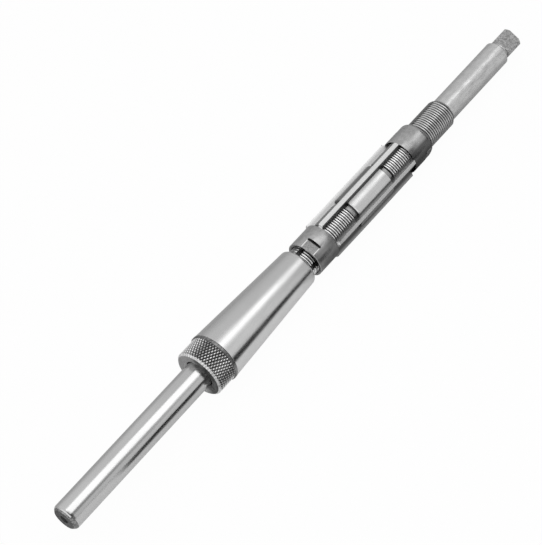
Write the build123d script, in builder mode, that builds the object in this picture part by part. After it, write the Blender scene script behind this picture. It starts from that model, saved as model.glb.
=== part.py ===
from build123d import *
from math import acos, asin, cos, degrees, radians, sin, tan
import os

os.makedirs("parts", exist_ok=True)

# Adjustable hand reamer with a guide rod and a tapered guide sleeve, in millimetres.
# The tool lies along X, with the guide at -X and the driving square at +X.

# Turned bar, from the free end of the guide to the driving square
guide_radius = 6.5
guide_length = 155.9
guide_chamfer = 1.3
thread_radius = 7.4
thread_chamfer = 0.6
front_thread_length = 33.3
relief_radius = 6.6
relief_length = 2.2
land_radius = 8.15
land_length = 23.9
land_chamfer = 0.4
rear_thread_length = 44.7
thread_taper_length = 2.15
shank_radius = 6.2
shank_length = 43.25
shank_end_chamfer = 1.05
square_neck_length = 0.6
square_width = 10.0
square_length = 9.7
square_chamfer = 0.5
square_turn = 33.4
crown_height = 0.75
crown_radius = 4.3

# Centre hole in the free end of the guide
centre_mouth_radius = 2.0
centre_pilot_radius = 1.0
centre_pilot_depth = 4.2
centre_half_angle = 30.0

# Blades, and the slots that they slide in
blade_count = 5
blade_width = 2.5
blade_tip_radius = 10.2
blade_edge_length = 56.2
blade_side_fit = 0.03
blade_floor_fit = 0.04
first_blade_turn = 0.0
slot_slope = 2.5
slot_floor_radius = 4.2
slot_cutter_radius = 30.0
grow_travel = 7.0
shrink_travel = 3.5
slot_end_room = 0.5
lead_length = 18.0
lead_drop = 0.12
land_width = 0.4
relief_angle = 7.0

# Ends of the blades: a steep shoulder outside the nut and a tongue under its lip
shoulder_room = 0.4
shoulder_length = 0.45
tongue_fit = 0.08
tongue_end_height = 0.1

# Adjusting nuts
nut_radius = 9.05
nut_length = 12.95
nut_lip = 0.25
nut_cone_angle = 30.0
nut_thread_fit = 0.05
nut_edge = 0.3
nut_bore_chamfer = 0.5
front_nut_setback = 4.0
wrench_flat_height = 8.35
wrench_flat_length = 5.65
front_nut_turn = 18.9
rear_nut_turn = 108.4
rear_nut_length = 13.6
rear_nose_length = 2.0
rear_nose_drop = 1.25
rear_nose_edge_length = 0.9
rear_nose_edge_drop = 0.45

# Tapered guide sleeve
sleeve_fit = 0.04
sleeve_stop_gap = 0.1
cone_length = 58.2
cone_large_radius = 12.15
cone_small_radius = 9.3
cone_large_edge = 0.25
cone_nose_length = 1.5
cone_nose_drop = 1.4
cone_nose_edge_length = 0.45
cone_nose_edge_drop = 0.35
sleeve_bore_chamfer = 0.4
spigot_radius = 9.0
spigot_length = 6.4
nose_length = 2.6
nose_large_radius = 8.5
nose_small_radius = 7.4
slit_count = 4
slit_width = 1.2
slit_length = 9.0

# Knurled clamp nut
clamp_face_gap = 0.05
clamp_band_radius = 12.3
clamp_band_length = 3.05
clamp_band_edge = 0.2
knurl_radius = 11.8
knurl_length = 7.6
clamp_front_chamfer = 0.95
clamp_thread_fit = 0.05
clamp_thread_room = 0.3
clamp_cone_fit = 0.06
clamp_bore_room = 0.4
clamp_bore_chamfer = 0.4

# Places along the tool
square_start_offset = shank_end_chamfer + square_neck_length
overall_length = (
    guide_length
    + front_thread_length
    + relief_length
    + land_length
    + relief_length
    + rear_thread_length
    + thread_taper_length
    + shank_length
    + square_start_offset
    + square_length
    + crown_height
)
guide_end_x = -overall_length / 2
front_thread_x = guide_end_x + guide_length
front_relief_x = front_thread_x + front_thread_length
land_x = front_relief_x + relief_length
rear_relief_x = land_x + land_length
rear_thread_x = rear_relief_x + relief_length
thread_taper_x = rear_thread_x + rear_thread_length
shank_x = thread_taper_x + thread_taper_length
shank_end_x = shank_x + shank_length
square_x = shank_end_x + square_start_offset
square_end_x = square_x + square_length

# The axis stands as high as the largest radius, that of the band on the clamp nut
axis_height = clamp_band_radius
tool_axis = Axis((0, 0, axis_height), (1, 0, 0))

# Places of the nuts and of the blades between them
nut_bore_radius = thread_radius + nut_thread_fit
nut_mouth_radius = nut_radius - nut_lip
cone_slope = tan(radians(nut_cone_angle))
nut_cone_depth = (nut_mouth_radius - nut_bore_radius) / cone_slope
front_nut_x = front_thread_x + front_nut_setback
front_mouth_x = front_nut_x + nut_length
blade_edge_x = front_mouth_x + shoulder_room + shoulder_length
blade_edge_end_x = blade_edge_x + blade_edge_length
rear_mouth_x = blade_edge_end_x + shoulder_room + shoulder_length
rear_nut_end_x = rear_mouth_x + rear_nut_length
tongue_length = nut_cone_depth - tongue_end_height / cone_slope
blade_front_x = front_mouth_x - tongue_length
blade_rear_x = rear_mouth_x + tongue_length
blade_turns = [first_blade_turn + 360 / blade_count * index for index in range(blade_count)]

# Places of the guide sleeve and of its clamp nut
sleeve_bore_radius = guide_radius + sleeve_fit
cone_small_x = front_thread_x - sleeve_stop_gap
cone_large_x = cone_small_x - cone_length
cone_taper = (cone_large_radius - cone_small_radius) / (cone_length - cone_large_edge)
spigot_x = cone_large_x - spigot_length
nose_x = spigot_x - nose_length
clamp_back_x = cone_large_x - clamp_face_gap
knurl_end_x = clamp_back_x - clamp_band_length
knurl_start_x = knurl_end_x - knurl_length
clamp_front_x = knurl_start_x - clamp_front_chamfer


def radial_plane(turn):
    """Plane through the axis: X along the tool, Y outwards at this turn about the axis."""
    across = (0, -cos(radians(turn)), -sin(radians(turn)))
    return Plane(origin=(0, 0, axis_height), x_dir=(1, 0, 0), z_dir=across)


def cross_plane(x, turn=0):
    """Plane square to the axis at x, with Y outwards at this turn about the axis."""
    sideways = (0, cos(radians(turn)), sin(radians(turn)))
    return Plane(origin=(x, 0, axis_height), x_dir=sideways, z_dir=(1, 0, 0))


def floor_height(x):
    """Radius of the slot floor at x: it rises towards the shank."""
    return slot_floor_radius + (x - blade_edge_x) * tan(radians(slot_slope))


# Turned bar
crown_ball_radius = (crown_radius**2 + crown_height**2) / (2 * crown_height)
with BuildPart() as reamer_body:
    with BuildSketch(radial_plane(0)):
        with BuildLine():
            Polyline(
                (guide_end_x, 0),
                (guide_end_x, guide_radius - guide_chamfer),
                (guide_end_x + guide_chamfer, guide_radius),
                (front_thread_x, guide_radius),
                (front_thread_x, thread_radius - thread_chamfer),
                (front_thread_x + thread_chamfer, thread_radius),
                (front_relief_x - thread_chamfer, thread_radius),
                (front_relief_x, relief_radius),
                (land_x, relief_radius),
                (land_x, land_radius - land_chamfer),
                (land_x + land_chamfer, land_radius),
                (rear_relief_x - land_chamfer, land_radius),
                (rear_relief_x, land_radius - land_chamfer),
                (rear_relief_x, relief_radius),
                (rear_thread_x, relief_radius),
                (rear_thread_x + thread_chamfer, thread_radius),
                (thread_taper_x, thread_radius),
                (shank_x, shank_radius),
                (shank_end_x, shank_radius),
                (shank_end_x + shank_end_chamfer, shank_radius - shank_end_chamfer),
                (square_x, shank_radius - shank_end_chamfer),
                (square_x + square_chamfer, shank_radius),
                (square_end_x - square_chamfer, shank_radius),
                (square_end_x, shank_radius - square_chamfer),
                (square_end_x, crown_radius),
            )
            CenterArc(
                (square_end_x + crown_height - crown_ball_radius, 0),
                crown_ball_radius,
                0,
                degrees(asin(crown_radius / crown_ball_radius)),
            )
            Line((square_end_x + crown_height, 0), (guide_end_x, 0))
        make_face()
    revolve(axis=tool_axis)

    # Driving square: four milled flats
    with BuildSketch(cross_plane(square_x, square_turn)):
        Circle(thread_radius)
        Rectangle(square_width, square_width, mode=Mode.SUBTRACT)
    extrude(amount=square_length + crown_height, mode=Mode.SUBTRACT)

    # Blade slots: an inclined floor that runs out at both ends with the radius of the cutter
    slot_start_x = blade_front_x - shrink_travel - slot_end_room
    slot_end_x = blade_rear_x + grow_travel + slot_end_room
    slot_top = land_radius + 1
    start_rise = 1 - (slot_top - floor_height(slot_start_x)) / slot_cutter_radius
    end_rise = 1 - (slot_top - floor_height(slot_end_x)) / slot_cutter_radius
    for turn in blade_turns:
        with BuildSketch(radial_plane(turn)):
            with BuildLine():
                floor_line = Line(
                    (slot_start_x, floor_height(slot_start_x)),
                    (slot_end_x, floor_height(slot_end_x)),
                )
                rear_arc = JernArc(floor_line @ 1, floor_line % 1, slot_cutter_radius, degrees(acos(end_rise)))
                front_arc = JernArc(
                    floor_line @ 0,
                    (floor_line % 0) * -1,
                    slot_cutter_radius,
                    -degrees(acos(start_rise)) - slot_slope,
                )
                Polyline(
                    rear_arc @ 1,
                    ((rear_arc @ 1).X, slot_top + slot_cutter_radius / 2),
                    ((front_arc @ 1).X, slot_top + slot_cutter_radius / 2),
                    front_arc @ 1,
                )
            make_face()
        extrude(amount=blade_width / 2 + blade_side_fit, both=True, mode=Mode.SUBTRACT)

    # Centre hole for grinding between centres
    with Locations(Plane(origin=(guide_end_x, 0, axis_height), z_dir=(-1, 0, 0))):
        CounterSinkHole(
            centre_pilot_radius,
            centre_mouth_radius,
            depth=centre_pilot_depth,
            counter_sink_angle=2 * centre_half_angle,
        )

reamer_body.part.label = "reamer_body"
export_step(reamer_body.part, "parts/reamer_body.step")

# Blades: flat stock with a ground cylindrical edge, a short lead and coned tongues at both ends
tongue_mouth_radius = nut_mouth_radius - tongue_fit / cos(radians(nut_cone_angle))
tongue_end_radius = tongue_mouth_radius - tongue_length * cone_slope
shoulder_foot_radius = tongue_mouth_radius + shoulder_room * cone_slope
stock_top = blade_tip_radius + 1

for index, turn in enumerate(blade_turns):
    with BuildPart() as blade:
        with BuildSketch(radial_plane(turn)):
            with BuildLine():
                Polyline(
                    (blade_front_x, floor_height(blade_front_x) + blade_floor_fit),
                    (blade_rear_x, floor_height(blade_rear_x) + blade_floor_fit),
                    (blade_rear_x, stock_top),
                    (blade_front_x, stock_top),
                    close=True,
                )
            make_face()
        extrude(amount=blade_width / 2, both=True)

        with BuildSketch(radial_plane(turn)):
            with BuildLine():
                Polyline(
                    (blade_front_x, 0),
                    (blade_front_x, tongue_end_radius),
                    (front_mouth_x + shoulder_room, shoulder_foot_radius),
                    (blade_edge_x, blade_tip_radius - lead_drop),
                    (blade_edge_x + lead_length, blade_tip_radius),
                    (blade_edge_end_x, blade_tip_radius),
                    (rear_mouth_x - shoulder_room, shoulder_foot_radius),
                    (blade_rear_x, tongue_end_radius),
                    (blade_rear_x, 0),
                    close=True,
                )
            make_face()
        revolve(axis=tool_axis, mode=Mode.INTERSECT)

        # Relief behind the cutting edge
        heel_drop = (blade_width - land_width) * tan(radians(relief_angle))
        edge_height = blade_tip_radius - lead_drop
        with BuildSketch(cross_plane(blade_edge_x, turn)):
            with BuildLine():
                Polyline(
                    (blade_width / 2 - land_width, edge_height),
                    (blade_width / 2 - land_width, stock_top),
                    (-blade_width / 2, stock_top),
                    (-blade_width / 2, edge_height - heel_drop),
                    close=True,
                )
            make_face()
        extrude(amount=blade_edge_length, mode=Mode.SUBTRACT)

    blade.part.label = f"blade_{index + 1}"
    export_step(blade.part, f"parts/blade_{index + 1}.step")

# Front nut: wrench flats at its front end, inner cone at its back end
with BuildPart() as front_nut:
    with BuildSketch(radial_plane(0)):
        with BuildLine():
            Polyline(
                (front_nut_x, nut_bore_radius + nut_bore_chamfer),
                (front_nut_x, nut_radius - nut_edge),
                (front_nut_x + nut_edge, nut_radius),
                (front_mouth_x, nut_radius),
                (front_mouth_x, nut_mouth_radius),
                (front_mouth_x - nut_cone_depth, nut_bore_radius),
                (front_nut_x + nut_bore_chamfer, nut_bore_radius),
                close=True,
            )
        make_face()
    revolve(axis=tool_axis)
    with BuildSketch(cross_plane(front_nut_x, front_nut_turn)):
        Rectangle(3 * nut_radius, 3 * nut_radius)
        Rectangle(3 * nut_radius, 2 * wrench_flat_height, mode=Mode.SUBTRACT)
    extrude(amount=wrench_flat_length, mode=Mode.SUBTRACT)

front_nut.part.label = "front_nut"
export_step(front_nut.part, "parts/front_nut.step")

# Rear nut: inner cone at its front end, wrench flats and a nose turned in two steps at its back end
with BuildPart() as rear_nut:
    with BuildSketch(radial_plane(0)):
        with BuildLine():
            Polyline(
                (rear_nut_end_x, nut_radius - rear_nose_drop),
                (rear_nut_end_x, nut_bore_radius + nut_bore_chamfer / 2),
                (rear_nut_end_x - nut_bore_chamfer / 2, nut_bore_radius),
                (rear_mouth_x + nut_cone_depth, nut_bore_radius),
                (rear_mouth_x, nut_mouth_radius),
                (rear_mouth_x, nut_radius),
                (rear_nut_end_x - rear_nose_length, nut_radius),
                (rear_nut_end_x - rear_nose_edge_length, nut_radius - rear_nose_edge_drop),
                close=True,
            )
        make_face()
    revolve(axis=tool_axis)
    with BuildSketch(cross_plane(rear_nut_end_x - wrench_flat_length, rear_nut_turn)):
        Rectangle(3 * nut_radius, 3 * nut_radius)
        Rectangle(3 * nut_radius, 2 * wrench_flat_height, mode=Mode.SUBTRACT)
    extrude(amount=wrench_flat_length, mode=Mode.SUBTRACT)

rear_nut.part.label = "rear_nut"
export_step(rear_nut.part, "parts/rear_nut.step")

# Guide sleeve: a long cone with a nose turned in two steps, and a split, threaded spigot at its large end
with BuildPart() as cone_sleeve:
    with BuildSketch(radial_plane(0)):
        with BuildLine():
            Polyline(
                (nose_x, sleeve_bore_radius),
                (nose_x, nose_small_radius),
                (spigot_x, nose_large_radius),
                (spigot_x, spigot_radius),
                (cone_large_x, spigot_radius),
                (cone_large_x, cone_large_radius - cone_large_edge),
                (cone_large_x + cone_large_edge, cone_large_radius),
                (cone_small_x - cone_nose_length, cone_small_radius + cone_nose_length * cone_taper),
                (cone_small_x - cone_nose_edge_length, cone_small_radius - cone_nose_edge_drop),
                (cone_small_x, cone_small_radius - cone_nose_drop),
                (cone_small_x, sleeve_bore_radius + sleeve_bore_chamfer),
                (cone_small_x - sleeve_bore_chamfer, sleeve_bore_radius),
                close=True,
            )
        make_face()
    revolve(axis=tool_axis)
    for index in range(slit_count):
        with BuildSketch(cross_plane(nose_x, 360 / slit_count * index)):
            with Locations((0, nose_large_radius)):
                Rectangle(slit_width, 2 * (nose_large_radius - guide_radius / 2))
        extrude(amount=slit_length, mode=Mode.SUBTRACT)

cone_sleeve.part.label = "cone_sleeve"
export_step(cone_sleeve.part, "parts/cone_sleeve.step")

# Clamp nut: knurled rim, smooth band, thread and inner cone that closes the split nose on the rod
clamp_bore_radius = guide_radius + clamp_bore_room
clamp_thread_radius = spigot_radius + clamp_thread_fit
nose_slope = (nose_large_radius - nose_small_radius) / nose_length
clamp_cone_x = spigot_x - clamp_thread_room
clamp_cone_radius = nose_large_radius - clamp_thread_room * nose_slope + clamp_cone_fit
clamp_cone_end_x = clamp_cone_x - (clamp_cone_radius - clamp_bore_radius) / nose_slope

with BuildPart() as knurled_nut:
    with BuildSketch(radial_plane(0)):
        with BuildLine():
            Polyline(
                (clamp_front_x + clamp_bore_chamfer, clamp_bore_radius),
                (clamp_front_x, clamp_bore_radius + clamp_bore_chamfer),
                (clamp_front_x, knurl_radius - clamp_front_chamfer),
                (knurl_start_x, knurl_radius),
                (knurl_end_x, knurl_radius),
                (knurl_end_x + clamp_band_edge, clamp_band_radius),
                (clamp_back_x - clamp_band_edge, clamp_band_radius),
                (clamp_back_x, clamp_band_radius - clamp_band_edge),
                (clamp_back_x, clamp_thread_radius),
                (clamp_cone_x, clamp_thread_radius),
                (clamp_cone_x, clamp_cone_radius),
                (clamp_cone_end_x, clamp_bore_radius),
                close=True,
            )
        make_face()
    revolve(axis=tool_axis)

knurled_nut.part.label = "knurled_nut"
export_step(knurled_nut.part, "parts/knurled_nut.step")
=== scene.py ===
import bpy
import math
from mathutils import Matrix, Vector


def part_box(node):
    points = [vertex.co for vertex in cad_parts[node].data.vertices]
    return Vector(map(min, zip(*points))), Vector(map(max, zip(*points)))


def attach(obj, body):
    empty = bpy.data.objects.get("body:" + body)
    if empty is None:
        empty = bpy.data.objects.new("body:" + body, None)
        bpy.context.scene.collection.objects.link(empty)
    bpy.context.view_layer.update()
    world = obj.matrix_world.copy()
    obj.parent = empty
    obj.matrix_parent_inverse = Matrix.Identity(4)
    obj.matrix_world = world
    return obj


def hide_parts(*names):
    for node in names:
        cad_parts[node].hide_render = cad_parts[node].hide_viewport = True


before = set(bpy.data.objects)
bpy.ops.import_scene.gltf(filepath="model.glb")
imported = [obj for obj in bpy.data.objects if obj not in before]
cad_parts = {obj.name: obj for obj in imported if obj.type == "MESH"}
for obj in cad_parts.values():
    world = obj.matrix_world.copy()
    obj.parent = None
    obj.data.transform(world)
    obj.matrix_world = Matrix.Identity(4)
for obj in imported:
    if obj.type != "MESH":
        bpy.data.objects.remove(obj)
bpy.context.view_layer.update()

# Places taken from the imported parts, in metres
mm = 0.001
hair = 0.01 * mm  # a tolerance
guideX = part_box("reamer_body")[0].x
sleeveStart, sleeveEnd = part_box("cone_sleeve")
clampStart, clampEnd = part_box("knurled_nut")
frontStart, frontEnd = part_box("front_nut")
rearStart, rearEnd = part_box("rear_nut")
bladeStart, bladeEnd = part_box("blade_1")
axisHeight = (clampStart.z + clampEnd.z) / 2
bladeCount = 5
bladeTurns = [360 / bladeCount * count for count in range(bladeCount)]


# Modelling helpers

weldGap = 0.0002 * mm
cutGap = 0.00001 * mm


def leaveEdit():
    bpy.ops.object.mode_set(mode="OBJECT")


def selectNothing():
    if bpy.context.object and bpy.context.object.mode != "OBJECT":
        leaveEdit()
    bpy.ops.object.select_all(action="DESELECT")


def makeActive(piece):
    selectNothing()
    piece.select_set(True)
    bpy.context.view_layer.objects.active = piece


def settle(piece):
    # Leaves the object at the origin, unturned, with its place in its mesh
    makeActive(piece)
    bpy.ops.object.transform_apply(location=True, rotation=True, scale=True)


def editAll(piece):
    # Edit mode with all points selected
    makeActive(piece)
    bpy.ops.object.mode_set(mode="EDIT")
    bpy.ops.mesh.select_mode(type="VERT")
    bpy.ops.mesh.select_all(action="SELECT")


def pick(piece, kind, wanted):
    # Edit mode with only the wanted faces or points selected
    makeActive(piece)
    bpy.ops.object.mode_set(mode="EDIT")
    bpy.ops.mesh.select_mode(type=kind)
    bpy.ops.mesh.select_all(action="DESELECT")
    leaveEdit()
    for part in (piece.data.polygons if kind == "FACE" else piece.data.vertices):
        part.select = wanted(part)
    bpy.ops.object.mode_set(mode="EDIT")


def reach(place):
    # Distance from the tool's axis
    return math.hypot(place[1], place[2] - axisHeight)


def tidyShell(piece):
    # Joins doubled points and turns all faces outwards
    editAll(piece)
    bpy.ops.mesh.remove_doubles(threshold=weldGap)
    bpy.ops.mesh.normals_make_consistent(inside=False)
    leaveEdit()


def turnedPiece(name, stations, sides, ring=False):
    # Turned on the tool's axis: a circle extruded from station to station, each (x, radius)
    selectNothing()
    startX, startRadius = stations[0]
    bpy.ops.mesh.primitive_circle_add(vertices=sides, radius=startRadius,
                                      location=(startX, 0, axisHeight), rotation=(0, math.pi / 2, 0))
    piece = bpy.context.object
    piece.name = name
    settle(piece)
    editAll(piece)
    if not ring:
        bpy.ops.mesh.edge_face_add()
    lastX, lastRadius = startX, startRadius
    for x, radius in stations[1:] + (stations[:1] if ring else []):
        bpy.ops.mesh.extrude_region_move(TRANSFORM_OT_translate={"value": (x - lastX, 0, 0)})
        grow = radius / lastRadius
        bpy.ops.transform.resize(value=(1, grow, grow), center_override=(x, 0, axisHeight))
        lastX, lastRadius = x, radius
    tidyShell(piece)
    return piece


def turnAbout(piece, degrees):
    # About the tool's axis, right-handed about +X: with no window the operator turns the other way
    makeActive(piece)
    bpy.ops.transform.rotate(value=-math.radians(degrees), orient_axis="X", orient_type="GLOBAL",
                             center_override=(0, 0, axisHeight))
    settle(piece)


def boxBetween(name, low, high):
    selectNothing()
    bpy.ops.mesh.primitive_cube_add(size=1, location=[(a + b) / 2 for a, b in zip(low, high)])
    piece = bpy.context.object
    piece.name = name
    piece.scale = [b - a for a, b in zip(low, high)]
    settle(piece)
    return piece


def copyOf(piece, name):
    twin = piece.copy()
    twin.data = piece.data.copy()
    twin.name = name
    bpy.context.scene.collection.objects.link(twin)
    return twin


def combine(piece, other, operation):
    modifier = piece.modifiers.new(operation.lower(), "BOOLEAN")
    modifier.operation = operation
    modifier.solver = "MANIFOLD"
    modifier.material_mode = "TRANSFER"
    modifier.object = other
    makeActive(piece)
    bpy.ops.object.modifier_apply(modifier=modifier.name)
    bpy.data.objects.remove(other)


def cutAround(piece, cutter, turns):
    for turn in turns:
        tool = copyOf(cutter, f"{cutter.name}{round(turn)}")
        turnAbout(tool, turn)
        combine(piece, tool, "DIFFERENCE")
    bpy.data.objects.remove(cutter)


def bevelEdges(piece, width, segments=2, angle=25):
    modifier = piece.modifiers.new("edges", "BEVEL")
    modifier.width = width
    modifier.segments = segments
    modifier.limit_method = "ANGLE"
    modifier.angle_limit = math.radians(angle)
    return modifier


def softenEdges(piece, width):
    modifier = bevelEdges(piece, width)
    makeActive(piece)
    bpy.ops.object.modifier_apply(modifier=modifier.name)


def smoothShade(piece, angle=32):
    makeActive(piece)
    bpy.ops.object.shade_smooth_by_angle(angle=math.radians(angle))


def paintFaces(piece, materials, choose):
    # One slot for each finish; choose names a face's finish by its place and by what it had
    for material in materials:
        if material.name not in [held.name for held in piece.data.materials if held]:
            piece.data.materials.append(material)
    order = [held.name if held else "" for held in piece.data.materials]
    for face in piece.data.polygons:
        face.material_index = order.index(choose(face, order[face.material_index]))
    makeActive(piece)
    bpy.ops.object.material_slot_remove_unused()


# Shader helpers

class Wire:
    # An output socket, so that shader maths reads as a formula
    def __init__(self, board, socket):
        self.board = board
        self.socket = socket

    def maths(self, operation, *others):
        values = dict(enumerate((self,) + others))
        return self.board.node("ShaderNodeMath", {"operation": operation}, values)

    def __add__(self, other):
        return self.maths("ADD", other)

    def __sub__(self, other):
        return self.maths("SUBTRACT", other)

    def __mul__(self, other):
        return self.maths("MULTIPLY", other)

    def __rsub__(self, other):
        return self * -1 + other

    __radd__ = __add__
    __rmul__ = __mul__

    def root(self):
        return self.maths("SQRT")

    def size(self):
        return self.maths("ABSOLUTE")

    def rise(self, low, high):
        # 0 below low, 1 above high, smooth between them
        return self.board.node("ShaderNodeMapRange", {"interpolation_type": "SMOOTHSTEP"},
                               {"Value": self, "From Min": low, "From Max": high})


def grey(value):
    # A number as a colour; an output passes as it is
    return value if isinstance(value, Wire) else (value, value, value, 1)


class Board:
    # The node board of a material or of the world
    def __init__(self, owner):
        owner.use_nodes = True
        self.tree = owner.node_tree
        self.tree.nodes.clear()

    def node(self, kind, settings=None, values=None, output=0):
        made = self.tree.nodes.new(kind)
        for setting, value in (settings or {}).items():
            setattr(made, setting, value)
        for socket, value in (values or {}).items():
            if isinstance(value, Wire):
                self.tree.links.new(value.socket, made.inputs[socket])
            else:
                made.inputs[socket].default_value = value
        return Wire(self, made.outputs[output]) if made.outputs else None

    def outputsOf(self, wire):
        return [Wire(self, socket) for socket in wire.socket.node.outputs]

    def spot(self):
        # The place, its x and y, its height above the tool's axis and its distance from it
        place = self.node("ShaderNodeTexCoord", output="Object")
        x, y, z = self.outputsOf(self.node("ShaderNodeSeparateXYZ", None, {0: place}))
        up = z - axisHeight
        return place, x, y, up, (y * y + up * up).root()

    def turned(self, y, up):
        # Turn about the tool's axis, in radians from straight up towards the front
        return (y * -1).maths("ARCTAN2", up)

    def grain(self, place, sizes, detail=3.0, roughness=0.55):
        # Noise whose marks are sizes long along x, y and z
        mapped = self.node("ShaderNodeMapping", None,
                           {"Vector": place, "Scale": [1 / size for size in sizes]})
        return self.node("ShaderNodeTexNoise", None,
                         {"Vector": mapped, "Scale": 1.0, "Detail": detail, "Roughness": roughness})

    def mix(self, share, first, second):
        # Mix has its colours in sockets 6 and 7 and output 2, and its numbers in sockets 2 and 3 and output 0
        return self.node("ShaderNodeMix", {"data_type": "RGBA"},
                         {0: share, 6: grey(first), 7: grey(second)}, output=2)

    def blend(self, share, first, second):
        return self.node("ShaderNodeMix", {"data_type": "FLOAT"}, {0: share, 2: first, 3: second})

    def bump(self, height, depth):
        return self.node("ShaderNodeBump", None, {"Strength": 1.0, "Distance": depth, "Height": height})

    def finish(self, kind, shader):
        self.node(kind, None, {"Surface": shader})


def steel(name, colour, roughness, relief=None):
    # colour, roughness and relief are functions of the board and the spot on the tool
    material = bpy.data.materials.new(name)
    board = Board(material)
    spot = board.spot()
    values = {"Base Color": colour(board, *spot), "Roughness": roughness(board, *spot), "Metallic": 1.0}
    if relief:
        values["Normal"] = relief(board, *spot)
    board.finish("ShaderNodeOutputMaterial", board.node("ShaderNodeBsdfPrincipled", None, values))
    return material


# Finishes

def marks(along, across=None):
    # Sizes of a noise's marks along the tool and across it, given in millimetres
    across = across or along
    return along * mm, across * mm, across * mm


turnedGrain = marks(0.16, 14)
lengthGrain = marks(16, 0.14)
mottle = marks(1.1)
# A pair of limits is where a change starts and where it is complete
streakLimits = (0.35, 0.7)
spotLimits = (0.3, 0.72)
sheenLimits = (0.3, 0.7)
cornerShadeStart = (-1.2, -1.1)
cornerShadeEnd = (-0.34, -0.4)


def cornerShade(board, y, up):
    # Painted shade on the bar in the corner behind the uppermost blade
    turn = board.turned(y, up)
    return turn.rise(*cornerShadeStart) * turn.rise(*cornerShadeEnd)


def groundFinish(name, **look):
    # Ground or turned steel: fine rings, faint cloudy tone, a few duller streaks along the tool
    def colour(board, place, x, y, up, radius):
        cloud = board.grain(place, look["cloud"], detail=2.0)
        rings = board.grain(place, turnedGrain, detail=2.0)
        tone = cloud * look["cloudTone"] + rings * look["ringTone"]
        # Painted shade in the corner behind the uppermost blade, where the look gives its depth
        if "oilShade" in look:
            tone = tone + look["base"] - cornerShade(board, y, up) * look["oilShade"]
        return board.mix(tone, look["dark"], look["light"])

    def roughness(board, place, x, y, up, radius):
        streak = board.grain(place, look["streak"], detail=3.0)
        return board.blend(streak.rise(*streakLimits), look["smooth"], look["rough"])

    def relief(board, place, x, y, up, radius):
        return board.bump(board.grain(place, turnedGrain, detail=3.0), look["ringDepth"])

    return steel(name, colour, roughness, relief)


rodSteel = groundFinish(
    "rodSteel", dark=0.55, light=0.69, cloud=marks(30, 6), cloudTone=0.7, ringTone=0.3,
    streak=marks(22, 1.2), smooth=0.19, rough=0.24, ringDepth=0.0006 * mm)
landSteel = groundFinish(
    "landSteel", dark=0.1, light=0.86, cloud=marks(9, 5), cloudTone=0.18, ringTone=0.12, base=0.49,
    oilShade=0.45, streak=marks(12, 1.2), smooth=0.19, rough=0.25, ringDepth=0.0008 * mm)
reliefSteel = groundFinish(
    "reliefSteel", dark=0.34, light=0.52, cloud=marks(4, 3), cloudTone=0.6, ringTone=0.4,
    streak=marks(4, 1), smooth=0.38, rough=0.5, ringDepth=0.0015 * mm)
shankSteel = groundFinish(
    "shankSteel", dark=0.46, light=0.8, cloud=marks(3.2, 1.3), cloudTone=0.8, ringTone=0.2,
    streak=marks(7, 1), smooth=0.26, rough=0.4, ringDepth=0.0014 * mm)
coneSteel = groundFinish(
    "coneSteel", dark=0.55, light=0.69, cloud=marks(26, 9), cloudTone=0.6, ringTone=0.4,
    streak=marks(14, 2), smooth=0.2, rough=0.25, ringDepth=0.0008 * mm)


def threadFinish(name, **look):
    # Cut thread: crests rubbed bright, roots painted dark as shade in the grooves and lighter on the stub,
    # a ring of painted shade before the front nut, and all of it darker behind the rear nut
    def colour(board, place, x, y, up, radius):
        # Roots painted dark as shade in the grooves, crests rubbed bright
        height = radius.rise(look["rootEnd"], look["crestStart"])
        # A ring of painted shade just before the front nut
        ring = x.rise(look["ringStart"], look["ringStart"] + look["ringEdge"])
        ring = ring * x.rise(look["ringEnd"] + look["ringEdge"], look["ringEnd"])
        dull = x.rise(look["dullStart"], look["dullEnd"])
        shade = (1 - ring * look["ringShade"]) * (1 - dull * look["dullShade"])
        # Painted shade in the corner behind the uppermost blade
        shade = shade * (1 - cornerShade(board, y, up) * look["oilShade"])
        # Painted root shade, lighter on the stub before the front nut
        root = board.blend(x.rise(look["ringEnd"], look["ringStart"]), look["root"], look["cleanRoot"])
        return board.mix(height * shade, root, look["crest"])

    def roughness(board, place, x, y, up, radius):
        return board.blend(radius.rise(look["rootEnd"], look["crestStart"]), look["rough"], look["smooth"])

    def relief(board, place, x, y, up, radius):
        return board.bump(board.grain(place, mottle, detail=4.0), look["pitDepth"])

    return steel(name, colour, roughness, relief)


def pittedFinish(name, look, colour):
    # A colour of its own on steel whose sheen is mottled and whose pits are shallow
    def roughness(board, place, x, y, up, radius):
        sheen = board.grain(place, look["spots"], detail=3.0)
        return board.blend(sheen.rise(*sheenLimits), look["smooth"], look["rough"])

    def relief(board, place, x, y, up, radius):
        return board.bump(board.grain(place, look["spots"], detail=5.0, roughness=0.7), look["pitDepth"])

    return steel(name, colour, roughness, relief)


def roughFinish(name, **look):
    # Milled or blackened steel of mottled tone
    def colour(board, place, x, y, up, radius):
        spots = board.grain(place, look["spots"], detail=4.0, roughness=0.65)
        return board.mix(spots.rise(*spotLimits), look["dark"], look["light"])

    return pittedFinish(name, look, colour)


slotSteel = roughFinish(
    "slotSteel", dark=0.46, light=0.68, spots=marks(3, 0.8), smooth=0.34, rough=0.45, pitDepth=0.02 * mm)
endSteel = roughFinish(
    "endSteel", dark=0.03, light=0.2, spots=marks(0.9), smooth=0.4, rough=0.55, pitDepth=0.05 * mm)
rimSteel = roughFinish(
    "rimSteel", dark=0.1, light=0.46, spots=marks(0.8), smooth=0.35, rough=0.5, pitDepth=0.05 * mm)
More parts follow.
